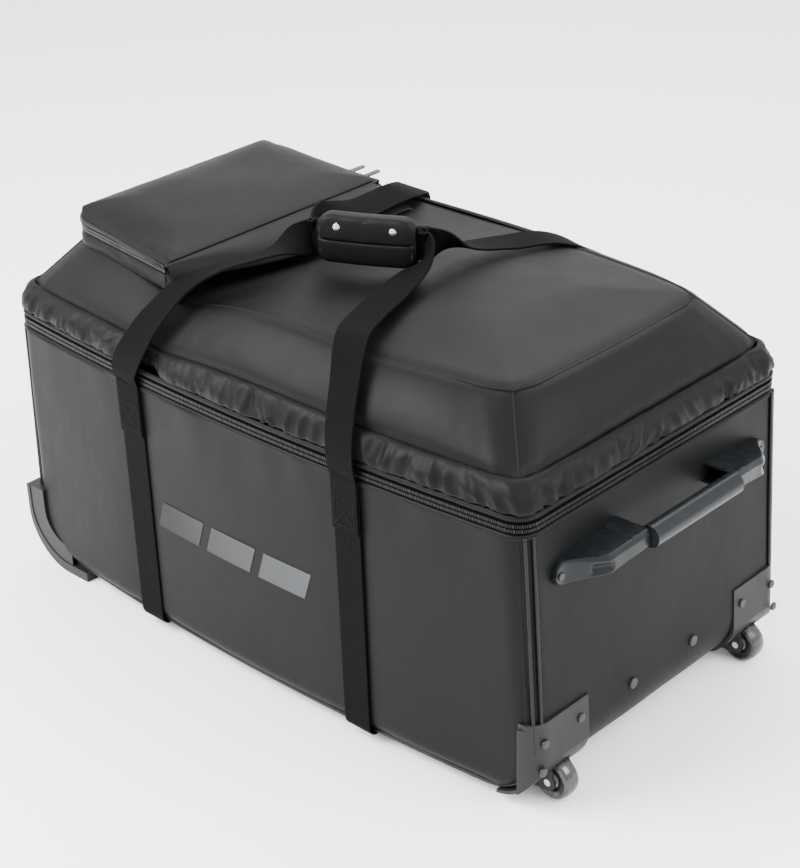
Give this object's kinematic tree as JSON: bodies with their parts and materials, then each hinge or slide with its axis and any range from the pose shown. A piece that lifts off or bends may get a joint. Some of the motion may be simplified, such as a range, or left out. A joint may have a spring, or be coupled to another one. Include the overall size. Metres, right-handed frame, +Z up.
{
  "type": "wheeled ice hockey equipment bag",
  "caption": "Large wheeled soft bag for ice hockey gear: zipped lid with a top pocket, webbing handles joined by a grip, end pull bar, corner wheels and a telescopic handle.",
  "frame": {"origin": "middle of the footprint, on the floor", "axes": "+X along the bag towards the wheels, -Y is the front with the lid's opening edge, +Z up"},
  "size_m": [0.8861, 0.4939, 0.512],
  "materials": {
    "shell_fabric": "coated polyester, satin",
    "stiffener_board": "matt sheet",
    "piping": "corded edge",
    "zip": "woven tape with moulded coil",
    "webbing": "ribbed webbing",
    "moulded_plastic": "fine grained",
    "handle_plastic": "satin black",
    "fastener": "black coated",
    "axle_steel": "turned",
    "tube_aluminium": "anodised",
    "plug_plastic": "moulded",
    "tyre": "glossy urethane",
    "snap_metal": "gunmetal",
    "zip_metal": "black coated"
  },
  "bodies": {
    "bag": {"front_panel": "shell_fabric", "back_panel": "shell_fabric", "wheel_end_panel": "shell_fabric", "far_end_panel": "shell_fabric", "base_panel": "shell_fabric", "base_board": "stiffener_board", "wheel_end_board": "stiffener_board", "corner_piping": "piping", "lower_zip": "zip", "lid_hinge_strip": "shell_fabric", "left_strap": "webbing", "right_strap": "webbing", "wheel_bracket_front": "moulded_plastic", "wheel_bracket_back": "moulded_plastic", "bracket_fasteners": "fastener", "wheel_axles": "axle_steel", "handle_fairing_front": "handle_plastic", "handle_fairing_back": "handle_plastic", "pull_bar": "handle_plastic", "fairing_screws": "fastener", "corner_guard_front": "moulded_plastic", "corner_guard_back": "moulded_plastic", "trolley_outer_tubes": "tube_aluminium", "tube_plugs": "plug_plastic", "tube_bolts": "fastener", "trolley_cup": "moulded_plastic", "handle_channel": "stiffener_board"},
    "wheel_front": {"tyre_front": "tyre", "hub_front": "moulded_plastic", "bearing_front": "axle_steel"},
    "wheel_back": {"tyre_back": "tyre", "hub_back": "moulded_plastic", "bearing_back": "axle_steel"},
    "lid": {"lid_gusset": "shell_fabric", "lid_front_slope": "shell_fabric", "lid_back_slope": "shell_fabric", "lid_wheel_end_slope": "shell_fabric", "lid_far_end_slope": "shell_fabric", "lid_top_panel": "shell_fabric", "upper_zip": "zip", "pocket_lower_wall": "shell_fabric", "pocket_ramp": "shell_fabric"},
    "pocket_flap": {"pocket_top_panel": "shell_fabric", "pocket_upper_wall": "shell_fabric"},
    "front_handle": {"front_loop_strap": "webbing", "grip_wrap": "shell_fabric", "grip_snaps": "snap_metal"},
    "rear_handle": {"rear_loop_strap": "webbing"},
    "trolley": {"trolley_inner_tubes": "tube_aluminium", "trolley_grip": "handle_plastic"},
    "trolley_button": {"trolley_button": "handle_plastic"},
    "main_slider_a": {"main_slider_a": "zip_metal"},
    "main_puller_a": {"main_puller_a": "zip_metal"},
    "main_slider_b": {"main_slider_b": "zip_metal"},
    "main_puller_b": {"main_puller_b": "zip_metal"},
    "pocket_slider_a": {"pocket_slider_a": "zip_metal"},
    "pocket_puller_a": {"pocket_puller_a": "zip_metal"},
    "pocket_slider_b": {"pocket_slider_b": "zip_metal"},
    "pocket_puller_b": {"pocket_puller_b": "zip_metal"}
  },
  "joints": [
    {"name": "wheel_front_spin", "type": "hinge", "parent": "bag", "child": "wheel_front", "pos_m": [0.38925, -0.17, 0.024], "axis": [0, 1, 0], "continuous": true},
    {"name": "wheel_back_spin", "type": "hinge", "parent": "bag", "child": "wheel_back", "pos_m": [0.38925, 0.17, 0.024], "axis": [0, 1, 0], "continuous": true},
    {"name": "lid_open", "type": "hinge", "parent": "bag", "child": "lid", "pos_m": [-0.01475, 0.243, 0.341], "axis": [-1, 0, 0], "range_deg": [0, 100], "deforming": ["front_loop_strap", "rear_loop_strap", "grip_wrap", "grip_snaps"]},
    {"name": "pocket_open", "type": "hinge", "parent": "lid", "child": "pocket_flap", "pos_m": [-0.15675, 0, 0.477], "axis": [0, 1, 0], "range_deg": [0, 100]},
    {"name": "front_handle_drop", "type": "hinge", "parent": "bag", "child": "front_handle", "pos_m": [-0.01475, -0.2425, 0.334], "axis": [1, 0, 0], "range_deg": [0, 185]},
    {"name": "rear_handle_drop", "type": "hinge", "parent": "bag", "child": "rear_handle", "pos_m": [-0.01475, 0.2425, 0.334], "axis": [-1, 0, 0], "range_deg": [0, 185]},
    {"name": "trolley_slide", "type": "slide", "parent": "bag", "child": "trolley", "axis": [-1, 0, 0], "range_m": [0, 0.4]},
    {"name": "trolley_button_press", "type": "slide", "parent": "trolley", "child": "trolley_button", "axis": [1, 0, 0], "range_m": [0, 0.004], "stiffness_N_per_m": 300},
    {"name": "main_slider_a_travel", "type": "slide", "parent": "bag", "child": "main_slider_a", "axis": [0, -1, 0], "range_m": [0, 0.165]},
    {"name": "main_slider_b_travel", "type": "slide", "parent": "bag", "child": "main_slider_b", "axis": [0, 1, 0], "range_m": [0, 0.165]},
    {"name": "main_puller_a_swing", "type": "hinge", "parent": "main_slider_a", "child": "main_puller_a", "pos_m": [-0.42155, -0.014, 0.3338], "axis": [0, 1, 0], "range_deg": [0, 90]},
    {"name": "main_puller_b_swing", "type": "hinge", "parent": "main_slider_b", "child": "main_puller_b", "pos_m": [-0.42155, 0.014, 0.3338], "axis": [0, 1, 0], "range_deg": [0, 90]},
    {"name": "pocket_slider_a_travel", "type": "slide", "parent": "lid", "child": "pocket_slider_a", "axis": [-1, 0, 0], "range_m": [0, 0.11]},
    {"name": "pocket_slider_b_travel", "type": "slide", "parent": "lid", "child": "pocket_slider_b", "axis": [-1, 0, 0], "range_m": [0, 0.01]},
    {"name": "pocket_puller_a_swing", "type": "hinge", "parent": "pocket_slider_a", "child": "pocket_puller_a", "pos_m": [-0.21475, 0.156, 0.463], "axis": [1, 0, 0], "range_deg": [0, 80]},
    {"name": "pocket_puller_b_swing", "type": "hinge", "parent": "pocket_slider_b", "child": "pocket_puller_b", "pos_m": [-0.18875, 0.156, 0.463], "axis": [1, 0, 0], "range_deg": [0, 80]}
  ],
  "couplings": [
    {"joint": "front_handle_drop", "follows": "lid_open", "ratio": 1.8},
    {"joint": "rear_handle_drop", "follows": "lid_open", "ratio": 1.8}
  ]
}
